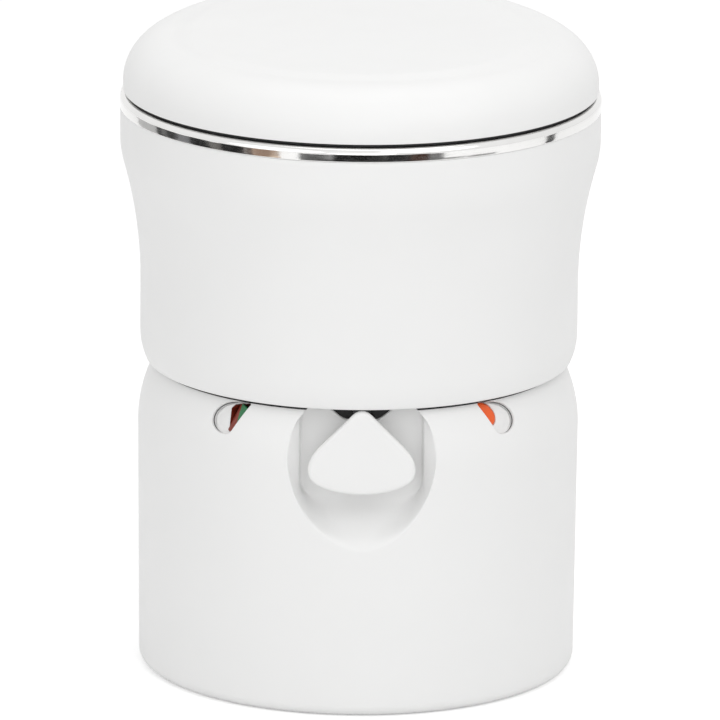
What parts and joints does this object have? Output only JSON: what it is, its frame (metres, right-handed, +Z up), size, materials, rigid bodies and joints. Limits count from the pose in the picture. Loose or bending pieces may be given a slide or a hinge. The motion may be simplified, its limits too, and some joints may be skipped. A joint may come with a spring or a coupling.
{
  "type": "camping toilet",
  "caption": "Free-standing portable toilet: holding tank with front pull valve, flared upper section with steel bowl, hinged seat and lid.",
  "frame": {"origin": "on the floor, at the centre of the rounded front, on the tank's underside", "axes": "+Z up, -Y towards the front with the pull handle, +X towards the right seen from the front"},
  "size_m": [0.38, 0.3972, 0.5095],
  "materials": {
    "pearl_plastic": "moulded, satin gloss",
    "dark_plastic": "moulded, matte",
    "green_plastic": "moulded",
    "red_plastic": "moulded",
    "orange_plastic": "moulded",
    "float_plastic": "closed-cell foam",
    "black_rubber": "matte",
    "polished_steel": "polished stainless steel",
    "plain_steel": "plain"
  },
  "bodies": {
    "tank": {"tank_shell": "pearl_plastic", "pocket_cup": "pearl_plastic", "scoop_cups": "pearl_plastic", "drain_cup": "pearl_plastic", "handle_cup": "pearl_plastic", "rubber_pads": "black_rubber", "valve_deck": "pearl_plastic", "port_seal": "black_rubber", "valve_cover": "pearl_plastic", "cover_screws": "plain_steel", "drain_neck": "pearl_plastic", "handle_ears": "pearl_plastic", "latch_spring": "plain_steel"},
    "valve": {"valve_blade": "dark_plastic", "valve_rod": "dark_plastic", "pull_handle": "pearl_plastic"},
    "gauge": {"gauge_drum": "green_plastic", "gauge_band": "red_plastic", "gauge_shaft": "plain_steel", "gauge_arm": "dark_plastic", "gauge_float": "float_plastic"},
    "release": {"release_tab": "orange_plastic", "latch_hook": "dark_plastic"},
    "cap": {"drain_cap": "dark_plastic", "cap_seal": "black_rubber"},
    "bail": {"carry_handle": "dark_plastic"},
    "upper": {"upper_casing": "pearl_plastic", "steel_bowl": "polished_steel", "outlet_seal": "black_rubber", "hinge_brackets": "plain_steel", "bracket_screws": "plain_steel", "hinge_pins": "plain_steel"},
    "seat_unit": {"seat": "pearl_plastic", "seat_bumpers": "black_rubber"},
    "lid_unit": {"lid_shell": "pearl_plastic", "lid_seal": "black_rubber"}
  },
  "joints": [
    {"name": "valve_pull", "type": "slide", "parent": "tank", "child": "valve", "axis": [0, -1, 0], "range_m": [0, 0.098]},
    {"name": "gauge_turn", "type": "hinge", "parent": "tank", "child": "gauge", "pos_m": [-0.09008, -0.12684, 0.22244], "axis": [0.4695, 0.0408, 0.882], "range_deg": [0, 75]},
    {"name": "release_push", "type": "slide", "parent": "tank", "child": "release", "axis": [-0.7826, -0.6225, 0], "range_m": [0, 0.006], "stiffness_N_per_m": 600, "springref_m": -0.004, "deforming": ["latch_spring"]},
    {"name": "cap_turn", "type": "hinge", "parent": "tank", "child": "cap", "pos_m": [0, 0.16, 0.062], "axis": [0, 1, 0], "continuous": true},
    {"name": "bail_swing", "type": "hinge", "parent": "tank", "child": "bail", "pos_m": [0, 0.1617, 0.2], "axis": [1, 0, 0], "range_deg": [0, 110]},
    {"name": "upper_lift", "type": "slide", "parent": "tank", "child": "upper", "axis": [0, 0, 1], "range_m": [0, 0.25]},
    {"name": "seat_raise", "type": "hinge", "parent": "upper", "child": "seat_unit", "pos_m": [0, 0.2007, 0.47], "axis": [-1, 0, 0], "range_deg": [0, 92]},
    {"name": "lid_raise", "type": "hinge", "parent": "seat_unit", "child": "lid_unit", "pos_m": [0, 0.2007, 0.47], "axis": [-1, 0, 0], "range_deg": [0, 92]}
  ]
}
